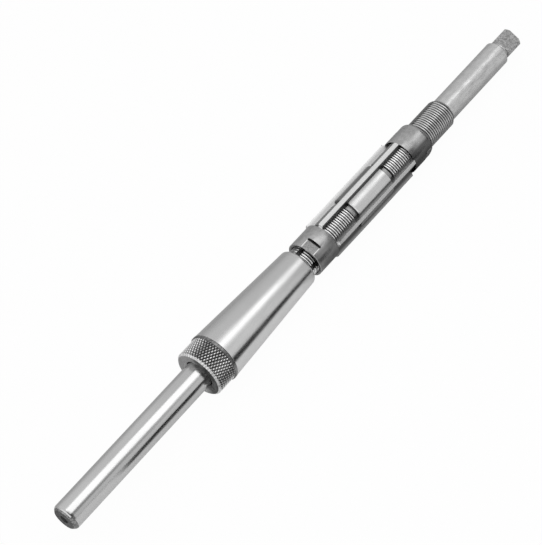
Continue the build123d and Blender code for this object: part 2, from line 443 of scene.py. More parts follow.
# Painted shade: the step faces beside the reliefs are near black
shoulderSteel = roughFinish(
    "shoulderSteel", dark=0.08, light=0.2, spots=marks(0.8), smooth=0.4, rough=0.5, pitDepth=0.01 * mm)
squareSteel = roughFinish(
    "squareSteel", dark=0.26, light=0.74, spots=marks(0.8, 1), smooth=0.42, rough=0.6, pitDepth=0.06 * mm)
chamferSteel = roughFinish(
    "chamferSteel", dark=0.66, light=0.95, spots=marks(1), smooth=0.32, rough=0.42, pitDepth=0.01 * mm)
clampSteel = roughFinish(
    "clampSteel", dark=0.12, light=0.34, spots=marks(0.9), smooth=0.35, rough=0.45, pitDepth=0.02 * mm)
# Painted shade: the centre hole in the rod's end is near black
boreSteel = roughFinish(
    "boreSteel", dark=0.02, light=0.08, spots=marks(0.8), smooth=0.4, rough=0.5, pitDepth=0.01 * mm)


def shadedSideFinish(name, **look):
    # Dull steel with painted shade along its lower near side
    def colour(board, place, x, y, up, radius):
        spots = board.grain(place, look["spots"], detail=4.0, roughness=0.65).rise(*spotLimits)
        turn = board.turned(y, up)
        # Painted shade along the lower near side
        paintedShade = turn.rise(*look["stainStart"]) * turn.rise(*look["stainEnd"])
        tone = board.blend(spots, look["dark"], look["light"]) * (1 - paintedShade * look["stainShade"])
        return board.mix(tone, 0.0, 1.0)

    return pittedFinish(name, look, colour)


frontNutSteel = shadedSideFinish(
    "frontNutSteel", dark=0.4, light=0.52, spots=marks(1.6), smooth=0.28, rough=0.36, pitDepth=0.008 * mm,
    stainStart=(0.72, 0.9), stainEnd=(3.0, 2.6), stainShade=0.34)
rearNutSteel = shadedSideFinish(
    "rearNutSteel", dark=0.38, light=0.48, spots=marks(1.6), smooth=0.24, rough=0.31, pitDepth=0.008 * mm,
    stainStart=(0.74, 0.96), stainEnd=(3.0, 2.6), stainShade=0.7)


def flatFinish(name, **look):
    # Milled flat: pitted, rubbed bright and painted with a highlight along its edges, and painted dark as
    # shade in the corner at its shoulder
    def colour(board, place, x, y, up, radius):
        spots = board.grain(place, look["spots"], detail=4.0, roughness=0.7).rise(*look["spotLimits"])
        # Edges rubbed bright, partly a painted highlight
        rubbed = radius.rise(look["rubStart"], look["rubEnd"])
        clean = board.mix(rubbed, board.mix(spots, look["dark"], look["light"]), look["rubbed"])
        # Painted shade in the corner at the shoulder
        return board.mix((x - look["shoulder"]).size().rise(*look["oilLimits"]), clean, look["oil"])

    return pittedFinish(name, look, colour)


faceLimits = (0.35, 0.8)
faceSpots = 0.7
faceRings = 0.5
shadeTurn = math.radians(75)


def facedFinish(name, **look):
    # A face turned square to the axis: rings of the lathe over a mottled tone, with painted shade on its near
    # side
    def rings(board, radius):
        outward = board.node("ShaderNodeCombineXYZ", None, {"X": radius})
        return board.grain(outward, (look["ringWidth"], 1, 1), detail=2.0)

    def colour(board, place, x, y, up, radius):
        spots = board.grain(place, look["spots"], detail=4.0, roughness=0.65)
        tone = (spots * faceSpots + rings(board, radius) * faceRings).rise(*faceLimits)
        # Painted shade towards the near side of the face
        paintedShade = (y * -math.sin(shadeTurn) + up * math.cos(shadeTurn)).rise(*look["stainLimits"])
        shadedTone = board.mix(tone, look["stainDark"], look["stainLight"])
        return board.mix(paintedShade, board.mix(tone, look["dark"], look["light"]), shadedTone)

    def roughness(board, place, x, y, up, radius):
        return board.blend(rings(board, radius), look["smooth"], look["rough"])

    def relief(board, place, x, y, up, radius):
        return board.bump(rings(board, radius), look["ringDepth"])

    return steel(name, colour, roughness, relief)


faceSteel = facedFinish(
    "faceSteel", dark=0.34, light=0.56, spots=marks(1.6), ringWidth=0.22 * mm, smooth=0.36, rough=0.5,
    ringDepth=0.012 * mm, stainLimits=(0.5 * mm, 4.5 * mm), stainDark=0.02, stainLight=0.2)
mouthSteel = facedFinish(
    "mouthSteel", dark=0.46, light=0.74, spots=marks(1.2), ringWidth=0.2 * mm, smooth=0.36, rough=0.5,
    ringDepth=0.012 * mm, stainLimits=(-2 * mm, 3 * mm), stainDark=0.02, stainLight=0.3)
nutEndSteel = facedFinish(
    "nutEndSteel", dark=0.1, light=0.46, spots=marks(0.8), ringWidth=0.2 * mm, smooth=0.35, rough=0.5,
    ringDepth=0.012 * mm, stainLimits=(6.6 * mm, 7.6 * mm), stainDark=0.02, stainLight=0.14)


def bladeFinish(name, **look):
    # Surface ground high speed steel: bright on its edge, darker on its two sides with the back darker than
    # the face, with painted shade down in its slot and painted light on the backs of the blades on the far
    # side
    def colour(board, place, x, y, up, radius):
        turn = board.turned(y, up)
        offTurn = turn - (turn * (bladeCount / math.tau)).maths("ROUND") * (math.tau / bladeCount)
        across = radius * offTurn.maths("SINE")
        grain = board.grain(place, lengthGrain, detail=3.0)
        top = board.mix(grain, look["topDark"], look["topLight"])
        # Painted shade: the sides darken down in the slot
        depth = radius.rise(look["slotRadius"], look["openRadius"])
        depth = board.blend(look["grainShare"], depth, grain)
        face = board.mix(depth, look["faceDark"], look["faceLight"])
        back = board.mix(depth, look["backDark"], look["backLight"])
        far = board.mix(depth, look["farDark"], look["farLight"])
        # Painted light: the backs of the blades on the far side are brighter
        back = board.mix(turn.rise(*look["farLimits"]), back, far)
        sides = board.mix(across.rise(-look["middle"], look["middle"]), face, back)
        return board.mix(across.size().rise(look["sideStart"], look["sideEnd"]), top, sides)

    def roughness(board, place, x, y, up, radius):
        return board.blend(board.grain(place, lengthGrain, detail=2.0), look["smooth"], look["rough"])

    def relief(board, place, x, y, up, radius):
        return board.bump(board.grain(place, lengthGrain, detail=3.0), look["grainDepth"])

    return steel(name, colour, roughness, relief)


bladeSteel = bladeFinish(
    "bladeSteel", topDark=0.76, topLight=0.96, faceDark=0.06, faceLight=0.42, backDark=0.05,
    backLight=0.2, farDark=0.48, farLight=0.86, farLimits=(-0.6, -1.0), slotRadius=8.2 * mm,
    openRadius=10.1 * mm, grainShare=0.2, grainDepth=0.002 * mm, middle=0.1 * mm, sideStart=1.0 * mm,
    sideEnd=1.1 * mm, smooth=0.3, rough=0.42)

# Turned bar: guide rod, two threads, land, shank and driving square
bar = {
    "sides": 144,
    "rodRadius": 6.5 * mm, "rodLength": 155.9 * mm, "rodChamfer": 1.3 * mm,
    # In shares of the chamfer: the worn edge, along the rod and inwards, and the reach of its darker rim,
    # farther on the near lower side
    "rodEdge": ((0, 1), (0.5, 0.47), (0.85, 0.19), (1.25, 0.04), (1.6, 0), (1.9, 0)),
    "rimReach": 0.48, "soiledReach": 1.2, "soiledTurn": 0.78,
    "centreMouth": 2.0 * mm, "centrePilot": 1.0 * mm, "centreDepth": 4.2 * mm, "centreHalfAngle": 30,
    "threadRadius": 7.4 * mm, "threadChamfer": 0.6 * mm, "frontThreadLength": 33.3 * mm,
    "rearThreadLength": 44.7 * mm, "threadTaper": 2.15 * mm,
    "reliefRadius": 6.6 * mm, "reliefLength": 2.2 * mm,
    "landRadius": 8.15 * mm, "landLength": 23.9 * mm, "landChamfer": 0.4 * mm,
    "shankRadius": 6.2 * mm, "shankLength": 43.25 * mm, "shankChamfer": 1.05 * mm, "neckLength": 0.6 * mm,
    "squareWidth": 10 * mm, "squareLength": 9.7 * mm, "squareChamfer": 0.5 * mm, "squareTurn": 33.4,
    "crownRadius": 4.3 * mm, "crownHeight": 0.75 * mm, "crownSteps": 5, "crownTip": 0.05 * mm,
    "cutterHalf": 9 * mm, "cutterOver": 3 * mm, "cutterHeight": 4 * mm,
    "pitch": 1.25 * mm, "rootRadius": 6.66 * mm, "crestFlat": 0.26 * mm, "rootFlat": 0.19 * mm,
    "crestRound": 0.12 * mm, "crestDrop": 0.07 * mm, "crestRoom": 0.05 * mm, "reliefRoom": 0.03 * mm,
    "turnSteps": 96, "spareTurns": 2, "blankStep": 0.2 * mm,
}
slot = {
    "width": 2.56 * mm, "floorRadius": 4.2 * mm, "slope": 2.5, "cutterRadius": 30 * mm, "height": 9 * mm,
    "edgeRoom": 0.85 * mm, "frontRoom": 4.0 * mm, "rearRoom": 7.5 * mm, "overLand": 1 * mm,
    "arcSteps": 10, "facing": 0.9,
}

frontThreadX = guideX + bar["rodLength"]
frontReliefX = frontThreadX + bar["frontThreadLength"]
landX = frontReliefX + bar["reliefLength"]
rearReliefX = landX + bar["landLength"]
rearThreadX = rearReliefX + bar["reliefLength"]
taperX = rearThreadX + bar["rearThreadLength"]
shankX = taperX + bar["threadTaper"]
shankEndX = shankX + bar["shankLength"]
squareX = shankEndX + bar["shankChamfer"] + bar["neckLength"]
squareEndX = squareX + bar["squareLength"]


def barBlank():
    relief, rod = bar["reliefRadius"], bar["rodRadius"]
    centreCone = (bar["centreMouth"] - bar["centrePilot"]) / math.tan(math.radians(bar["centreHalfAngle"]))
    land, landEdge = bar["landRadius"], bar["landChamfer"]
    shank, shankEdge, squareEdge = bar["shankRadius"], bar["shankChamfer"], bar["squareChamfer"]
    taperSlope = (bar["threadRadius"] - shank) / bar["threadTaper"]
    ball = (bar["crownRadius"]**2 + bar["crownHeight"]**2) / (2 * bar["crownHeight"])
    crown = []
    for step in range(bar["crownSteps"]):
        tilt = math.asin(bar["crownRadius"] / ball) * (1 - step / bar["crownSteps"])
        crown.append((squareEndX + bar["crownHeight"] - ball * (1 - math.cos(tilt)), ball * math.sin(tilt)))
    rodEdge = [(guideX + bar["rodChamfer"] * along, rod - bar["rodChamfer"] * inward)
               for along, inward in bar["rodEdge"]]
    stations = [
        (guideX + bar["centreDepth"], bar["centrePilot"]),
        (guideX + centreCone, bar["centrePilot"]),
        (guideX, bar["centreMouth"]),
    ] + rodEdge + [
        (frontThreadX + bar["blankStep"], rod),
        (frontThreadX + bar["blankStep"], relief),
        (landX, relief),
        (landX, land - landEdge),
        (landX + landEdge, land),
        (rearReliefX - landEdge, land),
        (rearReliefX, land - landEdge),
        (rearReliefX, relief),
        (taperX + (bar["threadRadius"] - relief) / taperSlope, relief),
        (shankX, shank),
        (shankEndX, shank),
        (shankEndX + shankEdge, shank - shankEdge),
        (squareX, shank - shankEdge),
        (squareX + squareEdge, shank),
        (squareEndX - squareEdge, shank),
        (squareEndX, shank - squareEdge),
    ] + crown + [(squareEndX + bar["crownHeight"], bar["crownTip"])]
    return turnedPiece("reamerBar", stations, bar["sides"])


def threadPlug(name, envelope):
    # One pitch of the thread form, wound along the axis and trimmed by its turned envelope
    startX, endX = envelope[0][0], envelope[-1][0]
    pitch, depth = bar["pitch"], bar["threadRadius"] - bar["rootRadius"]
    turnIn, drop = bar["crestRound"], bar["crestDrop"]
    flank = (pitch - bar["crestFlat"] - bar["rootFlat"]) / 2 - turnIn
    overrun = pitch / 4
    selectNothing()
    bpy.ops.mesh.primitive_plane_add(size=pitch, location=(startX - bar["spareTurns"] * pitch, 0, axisHeight))
    plug = bpy.context.object
    plug.name = name
    editAll(plug)
    bpy.ops.mesh.merge(type="CENTER")
    bpy.ops.transform.translate(value=(0, 0, bar["rootRadius"]))
    for along, out in ((bar["rootFlat"], 0), (flank, depth - drop), (turnIn, drop), (bar["crestFlat"], 0),
                       (turnIn, -drop), (flank, drop - depth)):
        bpy.ops.mesh.extrude_region_move(TRANSFORM_OT_translate={"value": (along, 0, out)})
    leaveEdit()
    helix = plug.modifiers.new("helix", "SCREW")
    helix.axis = "X"
    helix.angle = math.tau
    helix.screw_offset = pitch
    helix.iterations = math.ceil((endX - startX) / pitch) + 2 * bar["spareTurns"]
    helix.steps = helix.render_steps = bar["turnSteps"]
    makeActive(plug)
    bpy.ops.object.modifier_apply(modifier=helix.name)
    settle(plug)
    tidyShell(plug)
    for cutX, side in ((startX - overrun, -1), (endX + overrun, 1)):
        editAll(plug)
        bpy.ops.mesh.bisect(plane_co=(cutX, 0, axisHeight), plane_no=(side, 0, 0),
                            use_fill=True, clear_outer=True, threshold=cutGap)
    tidyShell(plug)
    combine(plug, turnedPiece(name + "Envelope", envelope, bar["sides"]), "INTERSECT")
    return plug


def slotCutter():
    slope = math.radians(slot["slope"])
    edgeX = frontEnd.x + slot["edgeRoom"]
    startX, endX = bladeStart.x - slot["frontRoom"], bladeEnd.x + slot["rearRoom"]
    startFloor = axisHeight + slot["floorRadius"] + (startX - edgeX) * math.tan(slope)
    endFloor = axisHeight + slot["floorRadius"] + (endX - edgeX) * math.tan(slope)
    half = slot["width"] / 2
    cutter = boxBetween("slotCutter", (startX, -half, startFloor), (endX, half, startFloor + slot["height"]))
    pick(cutter, "FACE", lambda face: face.normal.x > slot["facing"])
    bpy.ops.transform.translate(value=(0, 0, endFloor - startFloor))
    for x, floor, side in ((endX, endFloor, 1), (startX, startFloor, -1)):
        pick(cutter, "FACE", lambda face: face.normal.x * side > slot["facing"])
        top = axisHeight + bar["landRadius"] + slot["overLand"]
        sweep = math.acos(1 - (top - floor) / slot["cutterRadius"])
        bpy.ops.mesh.spin(steps=slot["arcSteps"], angle=side * sweep, axis=(0, 1, 0),
                          center=(x, 0, floor + slot["cutterRadius"]))
    tidyShell(cutter)
    cutter.data.materials.append(slotSteel)
    return cutter


print("bar")
threadSteel = threadFinish(
    "threadSteel", root=0.03, cleanRoot=0.2, crest=0.98, smooth=0.26, rough=0.42, rootEnd=6.8 * mm,
    crestStart=7.08 * mm, ringStart=frontStart.x - 1.9 * mm, ringEnd=frontStart.x + 0.1 * mm,
    ringEdge=0.5 * mm, ringShade=0.4, dullStart=rearEnd.x - 1 * mm, dullEnd=rearEnd.x, dullShade=0.3,
    oilShade=0.65, pitDepth=0.01 * mm)
reamerBar = barBlank()
crest, threadEdge = bar["threadRadius"], bar["threadChamfer"]
overCrest = crest + bar["crestRoom"]
underRelief = bar["reliefRadius"] + bar["reliefRoom"]
taperRun = bar["threadTaper"] * (crest - underRelief) / (crest - bar["shankRadius"])
for name, envelope in (
    ("frontThread", [(frontThreadX, crest - threadEdge),
                     (frontThreadX + threadEdge, overCrest),
                     (frontReliefX - threadEdge, overCrest),
                     (frontReliefX, underRelief)]),
    ("rearThread", [(rearThreadX, underRelief),
                    (rearThreadX + threadEdge, overCrest),
                    (taperX, overCrest),
                    (taperX + taperRun, underRelief)]),
):
    combine(reamerBar, threadPlug(name, envelope), "UNION")
print("slots and square")
cutAround(reamerBar, slotCutter(), bladeTurns)
squareTop, cutterHalf = axisHeight + bar["squareWidth"] / 2, bar["cutterHalf"]
squareCutter = boxBetween("squareCutter", (squareX, -cutterHalf, squareTop),
                          (squareEndX + bar["cutterOver"], cutterHalf, squareTop + bar["cutterHeight"]))
squareCutter.data.materials.append(squareSteel)
cutAround(reamerBar, squareCutter, [bar["squareTurn"] + 90 * count for count in range(4)])


def barFinish(face, was):
    x, radius = face.center.x, reach(face.center)
    if was in ("slotSteel", "squareSteel"):
        return was
    if x < guideX + hair:
        return "endSteel"
    if radius < bar["centreMouth"] and x < frontThreadX:
        return "boreSteel"
    # The darker rim reaches farther along the rod on its near lower side
    lowerRim = math.atan2(-face.center.y, face.center.z - axisHeight) > bar["soiledTurn"]
    if x < guideX + bar["rodChamfer"] * (bar["soiledReach"] if lowerRim else bar["rimReach"]):
        return "rimSteel"
    if x < frontThreadX:
        return "rodSteel"
    for low, high in ((frontReliefX, landX), (rearReliefX, rearThreadX)):
        if low - hair < x < high + hair:
            return "reliefSteel" if radius < bar["reliefRadius"] + 2 * hair else "shoulderSteel"
    if landX < x < rearReliefX:
        return "landSteel"
    if x < taperX + taperRun:
        return "threadSteel"
    return "shankSteel" if x < squareX else "squareSteel"


paintFaces(reamerBar, [rodSteel, threadSteel, landSteel, shankSteel, squareSteel, slotSteel, endSteel,
                       rimSteel, reliefSteel, shoulderSteel, boreSteel], barFinish)
smoothShade(reamerBar, angle=28)
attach(reamerBar, "reamer")
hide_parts("reamer_body")

# Adjusting nuts
nut = {
    "sides": 128, "radius": 9.05 * mm, "lip": 0.25 * mm, "boreRadius": 7.45 * mm, "coneHalfAngle": 30,
    "edge": 0.3 * mm, "boreEdge": 0.5 * mm, "flatHeight": 8.35 * mm, "flatLength": 5.65 * mm,
    "noseLength": 2.0 * mm, "noseDrop": 1.25 * mm, "noseSteps": 6, "frontTurn": 18.9, "rearTurn": 108.4,
    "softness": 0.09 * mm, "cutterHalf": 12 * mm, "cutterOver": 1 * mm, "cutterHeight": 4 * mm,
}


def cutFlats(piece, low, high, turn, shoulder):
    flatZ = axisHeight + nut["flatHeight"]
    flat = boxBetween(piece.name + "Flat", (low, -nut["cutterHalf"], flatZ),
                      (high, nut["cutterHalf"], flatZ + nut["cutterHeight"]))
    milled = flatFinish(
        piece.name + "Milled", dark=0.2, light=0.44, rubbed=0.85, oil=0.02, spots=marks(0.8), smooth=0.4,
        rough=0.56, pitDepth=0.05 * mm, rubStart=nut["radius"] - 0.2 * mm,
        rubEnd=nut["radius"] - 0.07 * mm, spotLimits=(0.32, 0.68), shoulder=shoulder,
        oilLimits=(1.25 * mm, 0.85 * mm))
    flat.data.materials.append(milled)
    cutAround(piece, flat, [turn, turn + 180])
    return milled


def paintNut(piece, plain, milled, endX):
    # The end face has a turned finish as far as the mouth of the thread, and the flats keep theirs
    def choose(face, was):
        if was == milled.name:
            return was
        atEnd = abs(face.center.x - endX) < nut["boreEdge"]
        return "nutEndSteel" if atEnd and reach(face.center) < nut["radius"] - nut["edge"] else plain.name

    paintFaces(piece, [plain, milled, nutEndSteel], choose)


print("nuts")
coneDepth = (nut["radius"] - nut["lip"] - nut["boreRadius"]) / math.tan(math.radians(nut["coneHalfAngle"]))
frontNut = turnedPiece("frontNut", [
    (frontStart.x, nut["boreRadius"] + nut["boreEdge"]),
    (frontStart.x, nut["radius"] - nut["edge"]),
    (frontStart.x + nut["edge"], nut["radius"]),
    (frontEnd.x, nut["radius"]),
    (frontEnd.x, nut["radius"] - nut["lip"]),
    (frontEnd.x - coneDepth, nut["boreRadius"]),
    (frontStart.x + nut["boreEdge"], nut["boreRadius"]),
], nut["sides"], ring=True)
frontShoulder = frontStart.x + nut["flatLength"]
frontMilled = cutFlats(frontNut, frontStart.x - nut["cutterOver"], frontShoulder, nut["frontTurn"],
                       frontShoulder)

noseArc = []
for step in range(nut["noseSteps"] + 1):
    turn = math.pi / 2 * step / nut["noseSteps"]
    noseArc.append((rearEnd.x - nut["noseLength"] * (1 - math.sin(turn)),
                    nut["radius"] - nut["noseDrop"] * (1 - math.cos(turn))))
rearNut = turnedPiece("rearNut", [
    (rearEnd.x, nut["boreRadius"] + nut["boreEdge"] / 2),
    (rearEnd.x - nut["boreEdge"] / 2, nut["boreRadius"]),
    (rearStart.x + coneDepth, nut["boreRadius"]),
    (rearStart.x, nut["radius"] - nut["lip"]),
    (rearStart.x, nut["radius"]),
] + noseArc, nut["sides"], ring=True)
rearShoulder = rearEnd.x - nut["flatLength"]
rearMilled = cutFlats(rearNut, rearShoulder, rearEnd.x + nut["cutterOver"], nut["rearTurn"], rearShoulder)

for piece, body, plain, milled, endX in ((frontNut, "front_nut", frontNutSteel, frontMilled, frontStart.x),
                                         (rearNut, "rear_nut", rearNutSteel, rearMilled, rearEnd.x)):
    paintNut(piece, plain, milled, endX)
    softenEdges(piece, nut["softness"])
    smoothShade(piece)
    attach(piece, body)
    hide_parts(body)

# Guide sleeve with its split nose
sleeve = {
    "sides": 144, "boreRadius": 6.54 * mm, "largeRadius": 12.15 * mm, "smallRadius": 9.3 * mm,
    "coneLength": 58.2 * mm, "largeEdge": 0.25 * mm, "smallEdge": 1.5 * mm, "smallSteps": 8,
    "boreEdge": 0.4 * mm, "spigotRadius": 9.0 * mm,
    "noseLength": 2.6 * mm, "noseLarge": 8.5 * mm, "noseSmall": 7.4 * mm,
    "slitCount": 4, "slitWidth": 1.2 * mm, "slitLength": 9.0 * mm, "slitOver": 1 * mm, "slitTop": 11 * mm,
}


def guideSleeve():
    coneX = sleeveEnd.x - sleeve["coneLength"]
    spigotX = sleeveStart.x + sleeve["noseLength"]
    slope = math.atan((sleeve["largeRadius"] - sleeve["smallRadius"]) / sleeve["coneLength"])
    arcX = sleeveEnd.x - sleeve["smallEdge"]
    arcRadius = (sleeve["smallRadius"] + sleeve["smallEdge"] * math.tan(slope)
                 - sleeve["smallEdge"] / math.cos(slope))
    rounded = []
    for step in range(sleeve["smallSteps"] + 1):
        turn = slope + (math.pi / 2 - slope) * step / sleeve["smallSteps"]
        rounded.append((arcX + sleeve["smallEdge"] * math.sin(turn),
                        arcRadius + sleeve["smallEdge"] * math.cos(turn)))
    piece = turnedPiece("guideCone", [
        (sleeveEnd.x - sleeve["boreEdge"], sleeve["boreRadius"]),
        (sleeveStart.x, sleeve["boreRadius"]),
        (sleeveStart.x, sleeve["noseSmall"]),
        (spigotX, sleeve["noseLarge"]),
        (spigotX, sleeve["spigotRadius"]),
        (coneX, sleeve["spigotRadius"]),
        (coneX, sleeve["largeRadius"] - sleeve["largeEdge"]),
        (coneX + sleeve["largeEdge"], sleeve["largeRadius"]),
    ] + rounded + [(sleeveEnd.x, sleeve["boreRadius"] + sleeve["boreEdge"])], sleeve["sides"], ring=True)
    half = sleeve["slitWidth"] / 2
    slitFoot = axisHeight + sleeve["boreRadius"] / 2
    slit = boxBetween("slit", (sleeveStart.x - sleeve["slitOver"], -half, slitFoot),
                      (sleeveStart.x + sleeve["slitLength"], half, axisHeight + sleeve["slitTop"]))
    cutAround(piece, slit, [360 / sleeve["slitCount"] * count for count in range(sleeve["slitCount"])])
    return piece


print("guide sleeve")
guideCone = guideSleeve()
paintFaces(guideCone, [coneSteel], lambda face, was: "coneSteel")
smoothShade(guideCone)
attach(guideCone, "guide_sleeve")
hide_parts("cone_sleeve")

# Clamp nut with its knurled rim
clamp = {
    "columns": 104, "rows": 7, "peakRadius": 11.9 * mm, "valleyRadius": 11.33 * mm, "frontChamfer": 0.95 * mm,
    "knurlLength": 9.15 * mm, "bandRadius": 12.3 * mm, "bandEdge": 0.2 * mm, "boreRadius": 6.9 * mm,
    "boreEdge": 0.8 * mm, "threadRadius": 9.05 * mm, "coneRadius": 8.43 * mm, "coneGap": 0.3 * mm,
    "bluntness": 0.22 * mm, "rimRoom": 0.1 * mm, "rubStart": 0.46 * mm, "rubEnd": 0.2 * mm, "dark": 0.1,
    "light": 0.95, "smooth": 0.25, "rough": 0.4, "mottleLimits": (0.2, 0.8),
}
knurlX = clampStart.x + clamp["frontChamfer"]
rimFloor = clamp["valleyRadius"] - clamp["rimRoom"]


def clampRing():
    frontX, backX = clampStart.x, clampEnd.x
    step = clamp["knurlLength"] / clamp["rows"]
    coneX = sleeveStart.x + sleeve["noseLength"] - clamp["coneGap"]
    coneSlope = (sleeve["noseLarge"] - sleeve["noseSmall"]) / sleeve["noseLength"]
    coneEndX = coneX - (clamp["coneRadius"] - clamp["boreRadius"]) / coneSlope
    rim = [(knurlX + step * row, clamp["valleyRadius"]) for row in range(clamp["rows"] + 1)]
    piece = turnedPiece("clampNut", [
        (frontX + clamp["boreEdge"], clamp["boreRadius"]),
        (frontX, clamp["boreRadius"] + clamp["boreEdge"]),
        (frontX, clamp["peakRadius"] - clamp["frontChamfer"]),
    ] + rim + [
        (rim[-1][0] + clamp["bandEdge"], clamp["bandRadius"]),
        (backX - clamp["bandEdge"], clamp["bandRadius"]),
        (backX, clamp["bandRadius"] - clamp["bandEdge"]),
        (backX, clamp["threadRadius"]),
        (coneX, clamp["threadRadius"]),
        (coneX, clamp["coneRadius"]),
        (coneEndX, clamp["boreRadius"]),
    ], clamp["columns"], ring=True)

    # Every second point of a row is a tooth; the grooves run between the others
    def isTooth(point):
        row = round((point.co.x - knurlX) / step)
        onRow = abs(point.co.x - knurlX - row * step) < hair
        if not onRow or not 0 <= row <= clamp["rows"] or reach(point.co) < rimFloor:
            return False
        turn = math.atan2(point.co.y, point.co.z - axisHeight) / math.tau * clamp["columns"]
        return (row + round(turn)) % 2 == 1

    pick(piece, "VERT", isTooth)
    grow = clamp["peakRadius"] / clamp["valleyRadius"]
    bpy.ops.transform.resize(value=(1, grow, grow), center_override=(0, 0, axisHeight))
    pick(piece, "FACE", lambda face: knurlX < face.center.x < knurlX + clamp["knurlLength"]
         and reach(face.center) > rimFloor)
    bpy.ops.mesh.quads_convert_to_tris(quad_method="SHORTEST_DIAGONAL", ngon_method="BEAUTY")
    pick(piece, "VERT", lambda point: knurlX < point.co.x < knurlX + clamp["knurlLength"]
         and abs(reach(point.co) - clamp["peakRadius"]) < 2 * hair)
    bpy.ops.mesh.bevel(offset=clamp["bluntness"], segments=1, affect="VERTICES")
    leaveEdit()
    return piece


def knurlFinish():
    # Teeth rubbed bright on top, dark between them
    def colour(board, place, x, y, up, radius):
        top = radius.rise(clamp["peakRadius"] - clamp["rubStart"], clamp["peakRadius"] - clamp["rubEnd"])
        return board.mix(top, clamp["dark"], clamp["light"])

    def roughness(board, place, x, y, up, radius):
        sheen = board.grain(place, mottle, detail=3.0)
        return board.blend(sheen.rise(*clamp["mottleLimits"]), clamp["smooth"], clamp["rough"])

    return steel("knurlSteel", colour, roughness)


print("clamp nut")
clampNut = clampRing()
knurlSteel = knurlFinish()


def clampFinish(face, was):
    x, radius = face.center.x, reach(face.center)
    onRim = radius > clamp["peakRadius"] - clamp["frontChamfer"]
    if onRim and x < knurlX:
        return "chamferSteel"
    if radius < clamp["boreRadius"] + clamp["boreEdge"] - hair:
        return "mouthSteel"
    if onRim and x <= knurlX + clamp["knurlLength"]:
        return "knurlSteel"
    return "faceSteel" if x < knurlX else "clampSteel"


paintFaces(clampNut, [clampSteel, knurlSteel, chamferSteel, faceSteel, mouthSteel], clampFinish)
smoothShade(clampNut, angle=20)
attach(clampNut, "clamp_nut")
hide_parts("knurled_nut")

# Blades keep their ground shape, with softened edges
print("blades")
bladeEdges = {"weldGap": 0.001 * mm, "width": 0.06 * mm}
for count in range(bladeCount):
    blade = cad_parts[f"blade_{count + 1}"]
    for holder in blade.material_slots:
        holder.link = "OBJECT"
        holder.material = bladeSteel
    weld = blade.modifiers.new("weld", "WELD")
    weld.merge_threshold = bladeEdges["weldGap"]
    bevelEdges(blade, bladeEdges["width"])

# Floor, light and camera
print("studio")
camera = {
    "focalPixels": 2037, "imageHeight": 545, "imageWidth": 542, "metresPerPixel": 0.000435,
    "aimX": -0.016, "aimPixel": (282.36, 284.46), "direction": (-0.431, -0.498, 0.753),
    "toolAcross": (0.68292, 0.73049), "sensor": 36,
}
toCamera = Vector(camera["direction"]).normalized()

# Tones of the floor as the metal sees it, and where they change along x and ahead of the tool, in metres
floorLook = {
    "size": 6.0, "drop": 0.02 * mm, "grey": 0.88, "whiteShare": 0.97, "glossShare": 0.3,
    "guideTone": 0.88, "coneTone": 1.1, "rearTone": 0.85, "shadeTone": 0.35, "endTone": 0.92, "endShade": 0.6,
    "farTone": 0.55, "bandTone": 0.02, "bandNear": 0.033, "coneBandNear": 0.043, "bandBlur": 0.18,
    "landBandNear": 0.062, "landBandBlur": 0.2, "bandSlant": 0.4, "coneSlant": 0.56,
    "cone": (-0.08, -0.065), "rear": (-0.005, 0.012), "end": (0.09, 0.125), "shadeEnd": (0.012, 0.045),
    "nearSide": (0.0, -0.01), "farSide": (0.0, 0.02), "bandStart": (-0.136, -0.124), "bandEnd": (0.02, 0.01),
    "landBandStart": (0.021, 0.029), "landBandEnd": (0.066, 0.058),
}


def layFloor(look):
    # The floor leans, because it touches the clamp nut and the rear nut
    slope = math.atan2(axisHeight - nut["radius"], rearEnd.x - nut["noseLength"] - clampEnd.x)
    selectNothing()
    bpy.ops.mesh.primitive_plane_add(size=look["size"], location=(clampEnd.x, 0, -look["drop"]),
                                     rotation=(0, -slope, 0))
    piece = bpy.context.object
    piece.name = "floor"
    settle(piece)
    return piece


def bandReach(ahead, near, blur):
    return ahead.rise(near * (1 - blur), near * (1 + blur))


def floorTone(board, look, x, y):
    # Grey under the tool, with a dark band ahead of the rod and the cone and another ahead of the land
    ahead = y.size()
    leaning = x - ahead * look["bandSlant"]
    leaningMore = x - ahead * look["coneSlant"]
    nearSide = y.rise(*look["nearSide"])
    underCone = leaning.rise(*look["cone"])
    bandNear = board.blend(underCone, look["bandNear"], look["coneBandNear"])
    band = bandReach(ahead, bandNear, look["bandBlur"]) * nearSide
    band = band * leaning.rise(*look["bandStart"]) * leaningMore.rise(*look["bandEnd"])
    landBand = bandReach(ahead, look["landBandNear"], look["landBandBlur"]) * nearSide
    landBand = landBand * leaningMore.rise(*look["landBandStart"])
    landBand = landBand * leaningMore.rise(*look["landBandEnd"])
    underEnd = x.rise(*look["end"])
    shade = board.blend(underEnd, look["shadeTone"], look["endShade"])
    clear = board.blend(underEnd, look["rearTone"], look["endTone"])
    rearTone = board.blend(ahead.rise(*look["shadeEnd"]), shade, clear)
    frontTone = board.blend(underCone, look["guideTone"], look["coneTone"])
    tone = board.blend(x.rise(*look["rear"]), frontTone, rearTone)
    tone = board.blend(y.rise(*look["farSide"]), tone, look["farTone"])
    return board.blend(band + landBand, tone, look["bandTone"])


